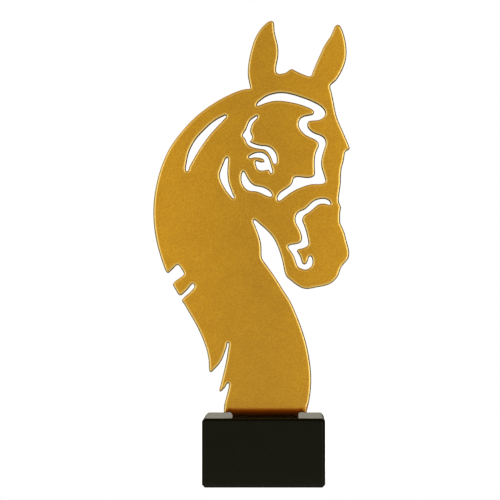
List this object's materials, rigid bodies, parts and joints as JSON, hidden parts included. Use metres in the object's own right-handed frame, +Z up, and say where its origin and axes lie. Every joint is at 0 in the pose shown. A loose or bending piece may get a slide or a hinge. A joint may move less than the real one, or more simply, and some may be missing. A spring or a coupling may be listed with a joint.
{
  "type": "equestrian trophy",
  "caption": "Horse's head trophy: a flat gold-coated steel head with cut-out face lines and mane, its foot folded back onto a chamfered block of black stone.",
  "frame": {"origin": "middle of the stone block's underside, on the surface that the trophy stands on", "axes": "+Z up, -Y towards the viewer who sees the horse's head face right, +X to that viewer's right"},
  "size_m": [0.1048, 0.045, 0.2476],
  "materials": {
    "gold_coat": "satin metallic gold powder coat",
    "black_stone": "honed black stone with fine flecks"
  },
  "bodies": {
    "root": {"horse_plate": "gold_coat", "base_block": "black_stone"}
  },
  "joints": []
}
